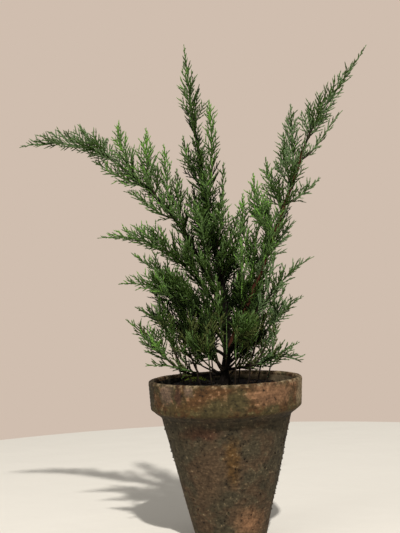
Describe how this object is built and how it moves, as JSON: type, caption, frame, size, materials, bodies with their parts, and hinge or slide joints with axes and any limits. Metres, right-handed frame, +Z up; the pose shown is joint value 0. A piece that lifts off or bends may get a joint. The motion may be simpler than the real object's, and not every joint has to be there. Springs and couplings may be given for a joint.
{
  "type": "potted juniper",
  "caption": "Young unclipped juniper with a middle leader and two long arms, in a weathered terracotta pot.",
  "frame": {"origin": "centre of the pot's flat underside", "axes": "+Z up along the pot's axis; the plant's two long arms reach along -X and +X, and its front is towards -Y"},
  "size_m": [0.4555, 0.2, 0.64],
  "materials": {
    "terracotta": "unglazed thrown terracotta, weathered dark, with moss and mineral stains",
    "soil": "dark crumbly potting soil with some moss",
    "bark": "thin red-brown juniper bark, fibrous, flaking in strips",
    "foliage": "fine whipcord juniper foliage, dark green inside and bright green at the tips"
  },
  "bodies": {
    "root": {"bough_left_arm": "bark", "bough_left_foot": "bark", "bough_left_high": "bark", "bough_left_low": "bark", "bough_left_mid": "bark", "bough_right_arm": "bark", "bough_right_high": "bark", "bough_right_low": "bark", "bough_right_mid": "bark", "foliage_collar_1": "foliage", "foliage_collar_10": "foliage", "foliage_collar_2": "foliage", "foliage_collar_3": "foliage", "foliage_collar_4": "foliage", "foliage_collar_5": "foliage", "foliage_collar_6": "foliage", "foliage_collar_7": "foliage", "foliage_collar_8": "foliage", "foliage_collar_9": "foliage", "foliage_crown_left": "foliage", "foliage_crown_right": "foliage", "foliage_fan_1": "foliage", "foliage_fan_2": "foliage", "foliage_fan_3": "foliage", "foliage_fan_4": "foliage", "foliage_fan_5": "foliage", "foliage_fan_6": "foliage", "foliage_leader_left": "foliage", "foliage_leader_low": "foliage", "foliage_leader_right": "foliage", "foliage_leader_tip": "foliage", "foliage_left_arm_shoot_1": "foliage", "foliage_left_arm_shoot_2": "foliage", "foliage_left_arm_shoot_3": "foliage", "foliage_left_arm_shoot_4": "foliage", "foliage_left_arm_tip": "foliage", "foliage_left_arm_under_1": "foliage", "foliage_left_arm_under_2": "foliage", "foliage_left_foot": "foliage", "foliage_left_high": "foliage", "foliage_left_low": "foliage", "foliage_left_mid": "foliage", "foliage_left_rim": "foliage", "foliage_left_upper": "foliage", "foliage_right_arm_fork": "foliage", "foliage_right_arm_inner": "foliage", "foliage_right_arm_outer": "foliage", "foliage_right_arm_shoot_1": "foliage", "foliage_right_arm_shoot_2": "foliage", "foliage_right_arm_shoot_3": "foliage", "foliage_right_arm_shoot_4": "foliage", "foliage_right_arm_shoot_5": "foliage", "foliage_right_arm_shoot_6": "foliage", "foliage_right_arm_tip": "foliage", "foliage_right_high": "foliage", "foliage_right_low": "foliage", "foliage_right_mid": "foliage", "pot": "terracotta", "soil": "soil", "trunk": "bark"}
  },
  "joints": []
}
